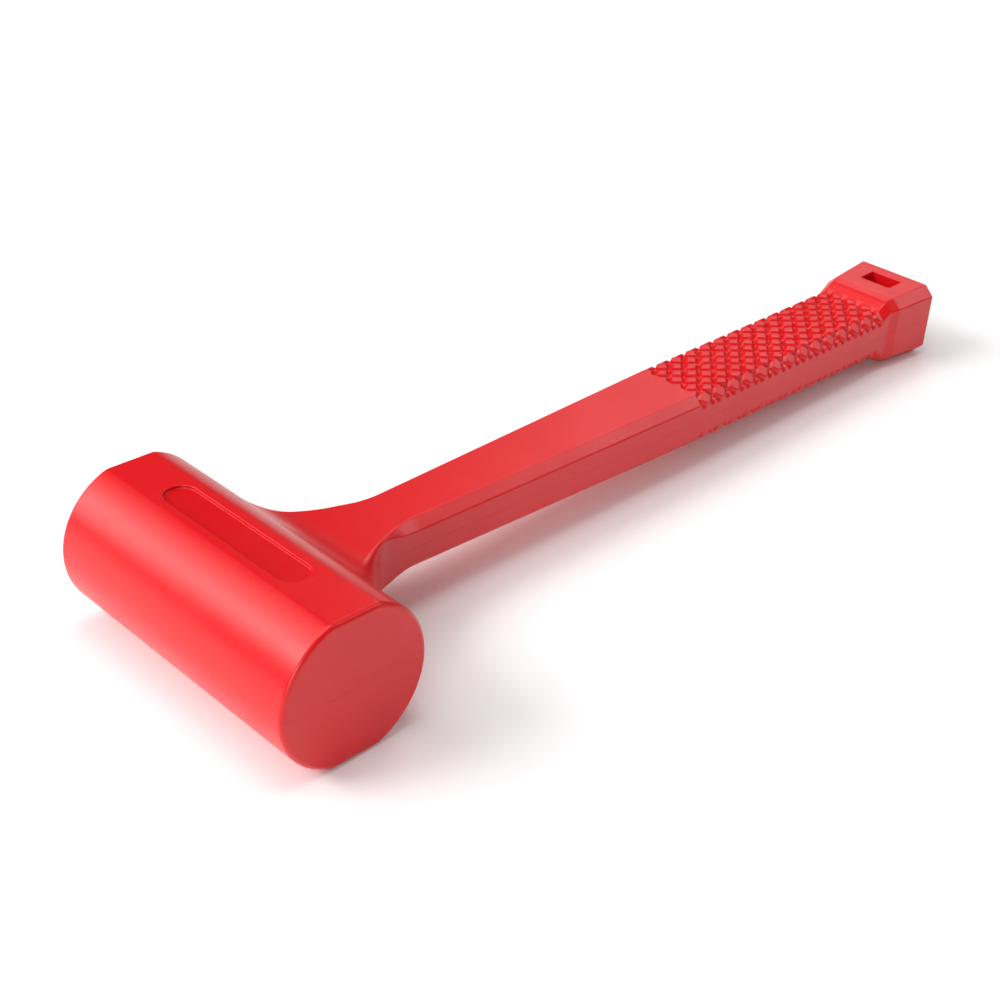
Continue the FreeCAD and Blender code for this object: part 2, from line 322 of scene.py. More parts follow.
@dataclass
class RedMoulding:
    """The one-piece moulding: head, neck, handle, grip and butt.

    The handle and neck are laid over with a fine grid, because the studs of the grip are soft
    rounded forms that sink into one surface and run over its bevels.
    """

    head: HeadSizes = field(default_factory=HeadSizes)
    neck: NeckSizes = field(default_factory=NeckSizes)
    handle: HandleSizes = field(default_factory=HandleSizes)
    studs: StudSizes = field(default_factory=StudSizes)
    axis_z: float = 0.0
    face_y: float = 0.0
    butt_end: float = 0.0

    def __post_init__(self) -> None:
        """Take the places of the axis, the strike faces and the butt from the frame."""
        mounts = {mount["name"]: mount["pos_m"] for mount in frame["record"]["mounts"]}
        self.axis_z = mounts[NEAR_FACE][2]
        self.face_y = mounts[FAR_FACE][1]
        self.butt_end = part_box("body_moulding")[1].x

    # ------------------------------------------------------------ head

    def build_head(self) -> bpy.types.Object:
        """Model the round head with its two flats and rounded rims.

        Returns:
            The head as a closed solid.
        """
        size = self.head
        turn = np.linspace(0.0, math.tau, size.round_steps, endpoint=False)
        ends = [(self.face_y - back, cut) for back, cut in quarter_round(size.edge_radius, size.rim_steps)]
        rings = []
        for along, inset in [*[(-y, cut) for y, cut in reversed(ends)], *ends]:
            round_reach = size.radius - inset
            flat_reach = (self.axis_z - inset) / np.maximum(np.abs(np.sin(turn)), 0.02)
            apart = np.hypot(flat_reach - round_reach, size.flat_edge)
            reach = 0.5 * (round_reach + flat_reach - apart)
            x = reach * np.cos(turn)
            z = self.axis_z + reach * np.sin(turn)
            rings.append(np.column_stack([x, np.full(len(turn), along), z]))
        return skin_over("head", np.array(rings))

    def build_panel_tool(self) -> bpy.types.Object:
        """Model the tool that sinks the long panel into the upper flat, with its soft lip.

        Returns:
            The tool as a closed solid.
        """
        top = 2.0 * self.axis_z
        floor = top - self.head.panel_depth
        lip = quarter_round(self.head.panel_lip, 4)
        levels = [(floor + back, -spread) for back, spread in reversed(lip)]
        levels += [(top - back, spread) for back, spread in lip]
        levels.append((top + self.head.panel_depth, self.head.panel_lip))
        half_length = self.head.panel_length / 2.0
        half_width = self.head.panel_width / 2.0
        rings = []
        for z, spread in levels:
            radius = half_width + spread - TOUCH
            outline = rounded_rectangle(half_width + spread, half_length + spread, radius, 16)
            rings.append(np.column_stack([outline, np.full(len(outline), z)]))
        return skin_over("panel_tool", np.array(rings))

    # ------------------------------------------------------------ neck and handle

    @property
    def rise_end(self) -> float:
        """Where the upper side has risen from the grip to the butt."""
        return self.handle.grip_end + self.handle.rise_length

    @property
    def shoulder_end(self) -> float:
        """Where the shoulder of the butt ends."""
        return self.rise_end + self.handle.shoulder_length

    @property
    def stations(self) -> list[float]:
        """Places along the handle where its width or its height starts to change at a new rate."""
        size = self.handle
        start, end = size.grip_start, size.grip_end
        return [self.neck_end, start, end, self.rise_end, self.shoulder_end, self.butt_end]

    def half_width_at(self, x: float) -> float:
        """Half the width of the handle.

        Args:
            x: place along the handle.

        Returns:
            The half width there.
        """
        size = self.handle
        grip = [size.grip_half_width, size.grip_end_half_width, size.grip_end_half_width]
        widths = [size.neck_half_width, *grip, size.shoulder_half_width, size.butt_half_width]
        return self.eased(x, self.stations, widths)

    def half_height_at(self, x: float) -> float:
        """Half the height of the handle.

        Args:
            x: place along the handle.

        Returns:
            The half height there.
        """
        size = self.handle
        grip = [size.grip_half_height, size.grip_end_half_height, size.rise_half_height]
        heights = [size.neck_half_height, *grip, size.shoulder_half_height, size.butt_half_height]
        return self.eased(x, self.stations, heights)

    def bevel_at(self, x: float) -> float:
        """Height and width of the long bevels at one place along the handle."""
        bevels = [self.handle.bevel, self.handle.butt_bevel]
        return self.eased(x, [self.rise_end, self.shoulder_end], bevels)

    def eased(self, x: float, places: Sequence[float], values: Sequence[float]) -> float:
        """Read a size off a row of straight runs whose kinks are eased.

        Args:
            x: place along the handle.
            places: places of the kinks.
            values: the size at each of them.

        Returns:
            The size at the place.
        """
        size = self.handle
        reach = size.butt_easing if x > size.grip_end - size.easing else size.easing
        around = x + np.linspace(-reach, reach, 9)
        return float(np.mean(np.interp(around, places, values)))

    @property
    def neck_end(self) -> float:
        """Where the neck ends and the plain handle starts."""
        return self.head.radius + self.neck.reach

    def neck_height(self, x: np.ndarray) -> np.ndarray:
        """Half the height of the neck, which curves up into the round of the head.

        Args:
            x: places along the handle.

        Returns:
            Half the height at each of them.
        """
        low = self.handle.neck_half_height
        radius = self.neck.blend_radius
        center_z = low + radius
        reach = self.head.radius + radius - self.neck.sink
        center_x = math.sqrt(reach**2 - center_z**2)
        touch_x = center_x * self.head.radius / reach
        held = np.clip(x, touch_x, center_x)
        return center_z - np.sqrt(radius**2 - (held - center_x) ** 2)

    def corner(self, bevel: float, round_radius: float, softness: float) -> np.ndarray:
        """Profile of one corner between the side and the top, as (inset, drop) pairs.

        Args:
            bevel: size of the flat bevel.
            round_radius: radius of the corner where it is fully rounded.
            softness: 0 for the bevelled corner, 1 for the rounded one.

        Returns:
            Pairs from the side of the handle to its top.
        """
        edge = self.handle.edge_radius
        cut = edge * math.tan(math.pi / 8.0)
        arc = np.linspace(0.0, math.pi / 4.0, 4)
        low_arc = [
            (edge * (1.0 - math.cos(a)), bevel + cut - edge * math.sin(a)) for a in arc
        ]
        high_arc = [(drop, inset) for inset, drop in reversed(low_arc)]
        run = np.linspace(0.0, 1.0, 9)[1:-1]
        start = np.array(low_arc[-1])
        end = np.array(high_arc[0])
        middle = [tuple(start + (end - start) * share) for share in run]
        bevelled = np.array([*low_arc, *middle, *high_arc])
        angles = np.linspace(0.0, math.pi / 2.0, len(bevelled))
        rounded = round_radius * np.stack([1.0 - np.cos(angles), 1.0 - np.sin(angles)], axis=1)
        return bevelled * (1.0 - softness) + rounded * softness

    def ring(
        self, place: tuple[float, float], facing: tuple[float, float], height: float, corner: np.ndarray
    ) -> np.ndarray:
        """One outline round the handle, that may bend along it in the neck.

        Args:
            place: (x, y) of the side wall.
            facing: (x, y) direction that the side wall faces.
            height: half the height of the handle here.
            corner: (inset, drop) pairs of the corner profile.

        Returns:
            The points of the outline, as (point, xyz).
        """
        x, half_width = place
        wall_top = height - corner[0][1]
        middle = max(wall_top - self.studs.side_reach, wall_top * 0.5)
        count = self.handle.side_steps
        low = np.linspace(0.0, middle, count + 1)[:-1]
        high = np.linspace(middle, wall_top, count + 1)[:-1]
        insets = np.concatenate([np.zeros(2 * count), corner[:, 0]])
        heights = np.concatenate([low, high, height - corner[:, 1]])
        side_x = x - facing[0] * insets
        side_y = half_width - facing[1] * insets
        shares = np.linspace(1.0, 0.0, self.handle.top_steps + 1)[1:]
        side = np.column_stack([side_x, side_y, heights])
        top = np.column_stack(
            [np.full_like(shares, side_x[-1]), side_y[-1] * shares, np.full_like(shares, height)]
        )
        quarter = np.concatenate([side, top])
        far = quarter[:-1][::-1] * np.array([1.0, -1.0, 1.0])
        upper = np.concatenate([quarter, far])
        lower = upper[1:-1][::-1] * np.array([1.0, 1.0, -1.0])
        return np.concatenate([upper, lower])

    def neck_rings(self) -> list[np.ndarray]:
        """Outlines of the neck, from inside the head to the start of the plain handle.

        Returns:
            Each outline as (point, xyz), about the axis of the handle.
        """
        size = self.neck
        side_y = self.handle.neck_half_width
        turns = np.linspace(math.pi / 2.0, 0.0, size.steps + 1)
        arc_x = self.neck_end - size.reach * np.sin(turns)
        arc_y = side_y - self.handle.bevel + size.reach * (1.0 - np.cos(turns))
        ease = smooth_step(turns / math.radians(size.ease_angle))
        wall_y = 0.5 * (side_y + arc_y + np.hypot(side_y - arc_y, size.merge * ease))
        facing = np.arctan2(-np.gradient(wall_y), np.gradient(arc_x))
        growth = smooth_step((np.degrees(turns) - size.growth_start) / size.growth_angle)
        radii = size.edge_radius + (size.root_edge_radius - size.edge_radius) * growth
        rest = wall_y - arc_y
        cuts = 0.5 * (rest + radii + np.hypot(rest - radii, size.cut_merge * ease))
        softness = smooth_step((self.handle.bevel - rest) / (self.handle.bevel - size.soft_edge))
        rings = []
        for index, (x, y, angle, cut, soft) in enumerate(zip(arc_x, wall_y, facing, cuts, softness)):
            corner = self.corner(cut, cut, soft)
            height = float(self.neck_height(np.array([x]))[0])
            ring = self.ring((x, y), (math.sin(angle), math.cos(angle)), height, corner)
            ring[:, 2] *= self.neck_height(ring[:, 0]) / height
            if index == 0:
                buried = ring.copy()
                buried[:, 0] = self.head.radius * 0.5
                rings.append(buried)
            rings.append(ring)
        return rings

    def handle_rings(self) -> list[np.ndarray]:
        """Outlines of the plain handle, the grip and the butt.

        Returns:
            Each outline as (point, xyz), about the axis of the handle.
        """
        size = self.handle
        plain = np.linspace(self.neck_end + 2.0 * MM, size.grip_start - 1.0 * MM, 34)
        fine_count = int((self.rise_end + 1.0 * MM - size.grip_start) / self.studs.fine_step)
        fine = np.linspace(size.grip_start - 0.5 * MM, self.rise_end + 1.2 * MM, fine_count)
        shoulder = np.linspace(self.rise_end + 1.5 * MM, self.shoulder_end - 0.6 * MM, 6)
        kink = np.linspace(self.shoulder_end - 0.4 * MM, self.shoulder_end + 0.4 * MM, 5)
        butt = np.linspace(self.shoulder_end + 1.5 * MM, self.butt_end - size.end_radius, 10)
        places = [(x, 0.0) for x in [*plain, *fine, *shoulder, *kink, *butt]]
        places += [(self.butt_end - back, cut) for back, cut in quarter_round(size.end_radius, 5)[1:]]
        rings = []
        for x, inset in places:
            corner = self.corner(self.bevel_at(x), 0.0, 0.0)
            wall = (x, self.half_width_at(x) - inset)
            rings.append(self.ring(wall, (0.0, 1.0), self.half_height_at(x) - inset, corner))
        return rings

    def press_studs(self, rings: np.ndarray) -> np.ndarray:
        """Sink the net of grooves into the upper and lower side of the grip.

        Args:
            rings: outlines of the handle, as (ring, point, xyz), about the handle's axis.

        Returns:
            The outlines with the grooves in them.
        """
        size = self.handle
        studs = self.studs
        x, y, z = rings[..., 0], rings[..., 1], rings[..., 2]
        before = np.roll(rings, 1, axis=1)
        after = np.roll(rings, -1, axis=1)
        run = after - before
        outward = np.stack([np.zeros_like(x), run[..., 2], -run[..., 1]], axis=2)
        outward /= np.linalg.norm(outward, axis=2, keepdims=True)
        centre = np.stack([np.zeros_like(x), y, z], axis=2)
        outward *= np.sign(np.sum(outward * centre, axis=2, keepdims=True))
        half_heights = np.max(z, axis=1, keepdims=True)
        bevels = np.array([[self.bevel_at(float(place))] for place in x[:, 0]])
        below_edge = half_heights - bevels - np.abs(z)
        side_share = 1.0 - smooth_step((below_edge - studs.side_gap) / studs.side_fade)
        start_share = smooth_step((x - size.grip_start) / studs.border)
        end_share = 1.0 - smooth_step((x - size.grip_end + studs.end_gap) / studs.end_fade)
        depth = studs.depth(x - size.grip_start, y) * side_share * start_share * end_share
        return rings - outward * depth[..., None]

    def build_handle(self) -> bpy.types.Object:
        """Lay the skin over the neck, the handle, the grip and the butt.

        Returns:
            All of them as one closed solid.
        """
        rings = np.array([*self.neck_rings(), *self.handle_rings()])
        rings = self.press_studs(rings)
        rings[..., 2] += self.axis_z
        return skin_over("handle_skin", rings)

    def build_slot_tool(self) -> bpy.types.Object:
        """Model the tool that cuts the hang slot, with a soft lip above and below.

        Returns:
            The tool as a closed solid.
        """
        size = self.handle
        middle_x = self.butt_end - size.slot_end_cover - size.slot_length / 2.0
        levels = [*quarter_round(size.slot_lip, 4), (-2.0 * MM, size.slot_lip)]
        rings = []
        for side, ordered in ((-1.0, reversed(levels)), (1.0, levels)):
            for drop, spread in ordered:
                half_x = size.slot_length / 2.0 + spread
                half_y = size.slot_width / 2.0 + spread
                outline = rounded_rectangle(half_x, half_y, size.slot_corner + spread, 6)
                x = outline[:, 0] + middle_x
                z = np.array([self.half_height_at(float(place)) for place in x]) - drop
                rings.append(np.column_stack([x, outline[:, 1], self.axis_z + side * z]))
        return skin_over("slot_tool", np.array(rings))

    # ------------------------------------------------------------ space for the steel frame

    def build_canister_tool(self) -> bpy.types.Object:
        """Model the space that the canister, its caps and their welds take up.

        Returns:
            The tool as a closed solid.
        """
        low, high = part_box("canister_tube")
        _, cap_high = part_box("canister_cap_far")
        weld_low, weld_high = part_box("cap_weld_far")
        radius = (high.x - low.x) / 2.0
        bore = cap_high.x
        leg = weld_high.y - weld_low.y
        half = [(cap_high.y, bore - leg), (high.y, bore), (high.y, radius)]
        profile = [*[(-along, reach) for along, reach in half], *reversed(half)]
        turned = turned_outline(profile, 96)
        rings = turned[..., [1, 0, 2]] + np.array([0.0, 0.0, self.axis_z])
        return skin_over("canister_tool", rings)

    def build_rod_tool(self) -> bpy.types.Object:
        """Model the space that the core rod and its weld take up.

        Returns:
            The tool as a closed solid.
        """
        rod_low, rod_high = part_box("handle_rod")
        weld_low, weld_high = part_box("rod_weld")
        radius = (rod_high.y - rod_low.y) / 2.0
        weld_radius = (weld_high.y - weld_low.y) / 2.0
        weld = [(weld_low.x - 2.0 * MM, weld_radius), (weld_low.x, weld_radius)]
        profile = [*weld, (weld_high.x, radius), (rod_high.x, radius)]
        rings = turned_outline(profile, 64) + np.array([0.0, 0.0, self.axis_z])
        return skin_over("rod_tool", rings)

    # ------------------------------------------------------------ whole piece

    def build(self) -> bpy.types.Object:
        """Model the whole moulding.

        Returns:
            The finished piece, which rides on the mallet's body.
        """
        piece = self.build_head()
        piece.name = "red_moulding_shell"
        use_tool(piece, self.build_handle(), CutMode.JOIN)
        makers = (self.build_panel_tool, self.build_slot_tool, self.build_canister_tool, self.build_rod_tool)
        for make_tool in makers:
            use_tool(piece, make_tool(), CutMode.CUT)
        make_active(piece)
        bpy.ops.object.shade_smooth_by_angle(angle=SMOOTH_ANGLE)
        even = piece.modifiers.new("even_shade", "WEIGHTED_NORMAL")
        even.keep_sharp = True
        even.weight = 60
        bpy.ops.object.modifier_apply(modifier=even.name)
        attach(piece, BodyName.MALLET.value)
        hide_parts("body_moulding")
        return piece


# ---------------------------------------------------------------- the shot


@dataclass(frozen=True)
class ShotCharge:
    """The loose steel balls inside the canister, in close-packed layers on its lower side."""

    diameter: float = 6.35 * MM
    clearance: float = 0.05 * MM
    wall_clearance: float = 0.3 * MM

    def layer(self, shift_x: float, shift_z: float, reach: float) -> list[tuple[float, float]]:
        """Places of the balls in one layer.

        Args:
            shift_x: how far the layer is shifted across.
            shift_z: how far it is shifted up.
            reach: how far from the axis a ball's centre may lie.

        Returns:
            (x, z) of each ball, from the axis of the canister.
        """
        pitch = self.diameter + self.clearance
        row_pitch = pitch * math.sqrt(3.0) / 2.0
        count = math.ceil(reach / row_pitch) + 1
        steps = range(-count, count + 1)
        grid = [
            (shift_x + (column + row / 2.0) * pitch, shift_z + row * row_pitch)
            for row in steps
            for column in steps
        ]
        return [(x, z) for x, z in grid if math.hypot(x, z) <= reach]

    def places(self) -> list[Point]:
        """Centres of all the balls.

        Returns:
            The centres, layer by layer.
        """
        low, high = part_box("steel_shot")
        _, cap_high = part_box("canister_cap_far")
        tube_low, tube_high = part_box("canister_tube")
        axis_z = (tube_low.z + tube_high.z) / 2.0
        pitch = self.diameter + self.clearance
        layer_pitch = pitch * math.sqrt(2.0 / 3.0)
        layers = round((high.y - low.y - self.diameter) / layer_pitch) + 1
        reach = cap_high.x - self.wall_clearance - self.diameter / 2.0
        shifted = self.layer(pitch / 2.0, pitch / math.sqrt(12.0), reach)
        kinds = [self.layer(0.0, 0.0, reach), shifted]
        drop = min(z + math.sqrt(reach**2 - x**2) for x, z in kinds[0] + kinds[1])
        return [
            (x, (index - (layers - 1) / 2.0) * layer_pitch, axis_z + z - drop)
            for index in range(layers)
            for x, z in kinds[index % 2]
        ]

    def build(self) -> bpy.types.Object:
        """Model one ball and copy it to every place.

        Returns:
            The charge as one piece, which rides on its own body.
        """
        deselect_all()
        bpy.ops.mesh.primitive_ico_sphere_add(subdivisions=2, radius=self.diameter / 2.0)
        first = bpy.context.object
        bpy.ops.object.shade_smooth()
        balls = []
        for place in self.places():
            ball = first.copy()
            ball.data = first.data.copy()
            ball.location = place
            bpy.context.collection.objects.link(ball)
            balls.append(ball)
        bpy.data.objects.remove(first, do_unlink=True)
        deselect_all()
        for ball in balls:
            ball.select_set(True)
        bpy.context.view_layer.objects.active = balls[0]
        bpy.ops.object.join()
        piece = bpy.context.object
        settle(piece)
        piece.name = "steel_shot_charge"
        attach(piece, BodyName.SHOT.value)
        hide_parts("steel_shot")
        return piece


# ---------------------------------------------------------------- finishes


def feed(tree: bpy.types.NodeTree, node: bpy.types.Node, values: dict[str | int, Feed]) -> None:
    """Feed a node's inputs.

    Args:
        tree: the node tree that holds the node.
        node: the node.
        values: for each input a socket to link to it, or the colour or number that it is set to.
    """
    for label, value in values.items():
        target = node.inputs[label]
        if isinstance(value, bpy.types.NodeSocket):
            tree.links.new(value, target)
        elif target.type == "RGBA":
            target.default_value = (*value, 1.0)
        else:
            target.default_value = value


def place(
    tree: bpy.types.NodeTree, kind: str, values: dict[str | int, Feed], **settings: object
) -> bpy.types.bpy_prop_collection:
    """Place a node in a tree.

    Args:
        tree: the node tree.
        kind: type of the node.
        values: what its inputs are fed with.
        settings: its own settings, which are set first.

    Returns:
        The node's outputs.
    """
    node = tree.nodes.new(kind)
    for label, setting in settings.items():
        setattr(node, label, setting)
    feed(tree, node, values)
    return node.outputs


class Shelf:
    """Shader node groups that more than one finish uses, each built once."""

    def __init__(self) -> None:
        """Build the groups."""
        self.grain = self.build_grain()
        self.drawn = self.build_drawn()
        self.wear = self.build_wear()

    @staticmethod
    def new_group(
        name: str, outputs: Sequence[str], inputs: dict[str, float]
    ) -> tuple[bpy.types.NodeTree, bpy.types.bpy_prop_collection, bpy.types.Node]:
        """Start a node group that reads coordinates and numbers and gives numbers.

        Args:
            name: name of the group.
            outputs: names of the numbers that it gives.
            inputs: names and start values of the numbers that it reads.

        Returns:
            The group, the outputs of its input node, and its output node.
        """
        group = bpy.data.node_groups.new(name, "ShaderNodeTree")
        new_socket = group.interface.new_socket
        new_socket(name="Vector", in_out="INPUT", socket_type="NodeSocketVector")
        for label, value in inputs.items():
            socket = new_socket(name=label, in_out="INPUT", socket_type="NodeSocketFloat")
            socket.default_value = value
        for label in outputs:
            new_socket(name=label, in_out="OUTPUT", socket_type="NodeSocketFloat")
        return group, place(group, "NodeGroupInput", {}), group.nodes.new("NodeGroupOutput")

    def build_grain(self) -> bpy.types.NodeTree:
        """Build the group for moulded or cast grain: a fine relief and broad cloudy patches.

        Returns:
            The group.
        """
        group, start, end = self.new_group(
            "surface_grain",
            ["Relief", "Patches"],
            {"Grain Scale": 900.0, "Fine Scale": 2600.0, "Fine Share": 0.3, "Patch Scale": 30.0},
        )
        noises = []
        for scale, detail, rough in (
            ("Grain Scale", 1.5, 0.5),
            ("Fine Scale", 3.0, 0.5),
            ("Patch Scale", 4.0, 0.55),
        ):
            source = {"Vector": start["Vector"], "Scale": start[scale]}
            noise = place(group, "ShaderNodeTexNoise", {**source, "Detail": detail, "Roughness": rough})
            noises.append(noise["Fac"])
        coarse, fine, patches = noises
        blend = place(group, "ShaderNodeMix", {0: start["Fine Share"], 2: coarse, 3: fine})
        feed(group, end, {"Relief": blend[0], "Patches": patches})
        return group

    def build_drawn(self) -> bpy.types.NodeTree:
        """Build the group for fine lines left by drawing, turning or tumbling.

        Returns:
            The group.
        """
        group, start, end = self.new_group("drawn_lines", ["Lines"], {"Line Scale": 1.0, "Contrast": 1.6})
        source = {"Vector": start["Vector"], "Scale": start["Line Scale"]}
        noise = place(group, "ShaderNodeTexNoise", {**source, "Detail": 5.0, "Roughness": 0.7})
        centre = place(group, "ShaderNodeMath", {0: noise["Fac"], 1: 0.5}, operation="SUBTRACT")
        spread = place(
            group,
            "ShaderNodeMath",
            {0: centre[0], 1: start["Contrast"], 2: 0.5},
            operation="MULTIPLY_ADD",
            use_clamp=True,
        )
        feed(group, end, {"Lines": spread[0]})
        return group

    def build_wear(self) -> bpy.types.NodeTree:
        """Build the group for wear: a mask of the outer edges, broken up by a noise.

        Returns:
            The group.
        """
        group, start, end = self.new_group(
            "edge_wear", ["Mask"], {"Break Scale": 400.0, "Edge Start": 0.52, "Edge End": 0.62}
        )
        shape = place(group, "ShaderNodeNewGeometry", {})
        ends = {"From Min": start["Edge Start"], "From Max": start["Edge End"]}
        edge = place(group, "ShaderNodeMapRange", {"Value": shape["Pointiness"], **ends})
        source = {"Vector": start["Vector"], "Scale": start["Break Scale"]}
        noise = place(group, "ShaderNodeTexNoise", {**source, "Detail": 4.0})
        broken = place(group, "ShaderNodeMath", {0: edge["Result"], 1: noise["Fac"]}, operation="MULTIPLY")
        feed(group, end, {"Mask": broken[0]})
        return group


class Recipe:
    """A material under construction: its node tree and the nodes that every finish has."""

    def __init__(self, name: str) -> None:
        """Start a material with a Principled shader and the object's own coordinates.

        Args:
            name: name of the material.
        """
        self.material = bpy.data.materials.new(name)
        self.material.use_nodes = True
        self.tree = self.material.node_tree
        self.shader = self.tree.nodes["Principled BSDF"]
        self.places = self.tree.nodes.new("ShaderNodeTexCoord").outputs["Object"]

    def finish(self, values: dict[str | int, Feed]) -> bpy.types.Material:
        """Feed the shader and give the finished material."""
        feed(self.tree, self.shader, values)
        return self.material

    def group(
        self, tree: bpy.types.NodeTree, vector: Feed, values: dict[str | int, Feed]
    ) -> bpy.types.bpy_prop_collection:
        """Place a shared group that reads the given coordinates, and give its outputs."""
        return place(self.tree, "ShaderNodeGroup", {"Vector": vector, **values}, node_tree=tree)

    def mix_colour(self, share: Feed, first: Feed, second: Feed) -> bpy.types.NodeSocket:
        """Mix two colours, where the mask is the share of the second one."""
        return place(self.tree, "ShaderNodeMix", {0: share, 6: first, 7: second}, data_type="RGBA")[2]

    def part(self, axis: str) -> bpy.types.NodeSocket:
        """One axis of the object's own coordinates."""
        return place(self.tree, "ShaderNodeSeparateXYZ", {"Vector": self.places})[axis]

    def combined(self, operation: str, first: Feed, second: Feed = 0.0) -> bpy.types.NodeSocket:
        """Combine two numbers."""
        return place(self.tree, "ShaderNodeMath", {0: first, 1: second}, operation=operation)[0]

    def stretched(self, scale: Point) -> bpy.types.NodeSocket:
        """Stretch the coordinates by a scale for each axis."""
        return place(self.tree, "ShaderNodeMapping", {"Vector": self.places, "Scale": scale})["Vector"]

    def ranged(
        self, value: Feed, low: float, high: float, start: float = 0.3, end: float = 0.7
    ) -> bpy.types.NodeSocket:
        """Turn the range of a mask from start to end into the range from low to high."""
        ends = {"From Min": start, "From Max": end, "To Min": low, "To Max": high}
        return place(self.tree, "ShaderNodeMapRange", {"Value": value, **ends})["Result"]

    def relief(self, height: Feed, distance: float, strength: float, **under: Feed) -> bpy.types.NodeSocket:
        """Turn a height into a normal.

        Args:
            height: socket with the height.
            distance: what a height of one is, in metres.
            strength: how much of it shows.
            under: as Normal, a socket with a normal that this one lies on.

        Returns:
            Socket with the normal.
        """
        values = {"Distance": distance, "Strength": strength, "Height": height, **under}
        return place(self.tree, "ShaderNodeBump", values)["Normal"]


@dataclass(frozen=True)
class MouldedRed:
    """Soft red moulding compound with a satin skin, a fine orange-peel grain and a parting line."""

    colour: Colour = (0.715, 0.005, 0.009)
    deep_colour: Colour = (0.66, 0.003, 0.006)
    worn_colour: Colour = (0.78, 0.030, 0.030)
    roughness: tuple[float, float] = (0.285, 0.36)
    # painted shade: a deeper red laid over the sunk panel to darken the recess
    painted_recess_shade_colour: Colour = (0.64, 0.0, 0.004)
    panel_half: tuple[float, float] = (5.5 * MM, 31.5 * MM)
    grain_height: float = 0.045 * MM
    seam_width: float = 0.16 * MM
    seam_height: float = 0.05 * MM

    def build(self, shelf: Shelf, axis_z: float) -> bpy.types.Material:
        """Build the material.

        Args:
            shelf: the shared node groups.
            axis_z: height of the parting line.

        Returns:
            The material.
        """
        recipe = Recipe("moulded_red")
        grain = recipe.group(shelf.grain, recipe.places, {"Grain Scale": 950.0, "Patch Scale": 38.0})
        wear = recipe.group(shelf.wear, recipe.places, {"Break Scale": 260.0})
        cloud = recipe.ranged(grain["Patches"], 0.0, 0.45)
        cloudy = recipe.mix_colour(cloud, self.colour, self.deep_colour)
        worn = recipe.mix_colour(wear["Mask"], cloudy, self.worn_colour)
        # mask of the sunk panel, where painted shade darkens the recess
        panel = self.recess_shade_mask(recipe, 2.0 * axis_z)
        skin = recipe.relief(grain["Relief"], self.grain_height, 1.0)
        seam = self.seam_mask(recipe, axis_z)
        return recipe.finish(
            {
                # painted shade: the sunk panel is mixed to a deeper red
                "Base Color": recipe.mix_colour(panel, worn, self.painted_recess_shade_colour),
                "Roughness": recipe.ranged(grain["Patches"], *self.roughness),
                "Normal": recipe.relief(seam, self.seam_height, 1.0, Normal=skin),
                "Specular IOR Level": 0.5,
                "IOR": 1.5,
            }
        )

    def recess_shade_mask(self, recipe: Recipe, top: float) -> bpy.types.NodeSocket:
        """Mark the sunk panel in the upper flat, which gets a deeper red as painted shade in the recess.

        Args:
            recipe: the material under construction.
            top: height of the upper flat.

        Returns:
            Socket with 1 in the panel and 0 outside it.
        """
        soft = 0.1 * MM
        height = recipe.part("Z")
        below_top = recipe.ranged(height, 1.0, 0.0, top - 2.0 * soft, top - soft)
        above_floor = recipe.ranged(height, 0.0, 1.0, top - 2.0 * MM, top - 1.5 * MM)
        whole = recipe.combined("MULTIPLY", below_top, above_floor)
        for axis, reach in zip(("X", "Y"), self.panel_half):
            offset = recipe.combined("ABSOLUTE", recipe.part(axis))
            inside = recipe.ranged(offset, 1.0, 0.0, reach, reach + soft)
            whole = recipe.combined("MULTIPLY", whole, inside)
        return whole

    def seam_mask(self, recipe: Recipe, axis_z: float) -> bpy.types.NodeSocket:
        """Height of the faint line where the halves of the mould met.

        Args:
            recipe: the material under construction.
            axis_z: height of the line.

        Returns:
            Socket with 1 on the line and 0 off it.
        """
        distance = recipe.combined("ABSOLUTE", recipe.combined("SUBTRACT", recipe.part("Z"), axis_z))
        return recipe.ranged(distance, 1.0, 0.0, 0.0, self.seam_width)


@dataclass(frozen=True)
class DrawnSteel:
    """Bright drawn steel with fine lines along its length and a little tarnish."""

    name: str
    colour: Colour
    tarnish: Colour
    line_scale: Point
    roughness: tuple[float, float] = (0.26, 0.46)
    line_height: float = 0.02 * MM

    def build(self, shelf: Shelf) -> bpy.types.Material:
        """Build the material.

        Args:
            shelf: the shared node groups.

        Returns:
            The material.
        """
        recipe = Recipe(self.name)
        lines = recipe.group(shelf.drawn, recipe.stretched(self.line_scale), {"Contrast": 1.8})
        grain = recipe.group(shelf.grain, recipe.places, {"Grain Scale": 1400.0, "Patch Scale": 70.0})
        wear = recipe.group(shelf.wear, recipe.places, {"Break Scale": 900.0})
        spots = recipe.ranged(grain["Patches"], 0.0, 0.7, 0.45, 0.75)
        tarnished = recipe.mix_colour(spots, self.colour, self.tarnish)
        bright = tuple(min(1.0, share * 1.25) for share in self.colour)
        scored = recipe.relief(lines["Lines"], self.line_height, 0.8)
        return recipe.finish(
            {
                "Base Color": recipe.mix_colour(wear["Mask"], tarnished, bright),
                "Roughness": recipe.ranged(lines["Lines"], *self.roughness),
                "Normal": recipe.relief(grain["Relief"], 0.01 * MM, 0.6, Normal=scored),
                "Metallic": 1.0,
            }
        )


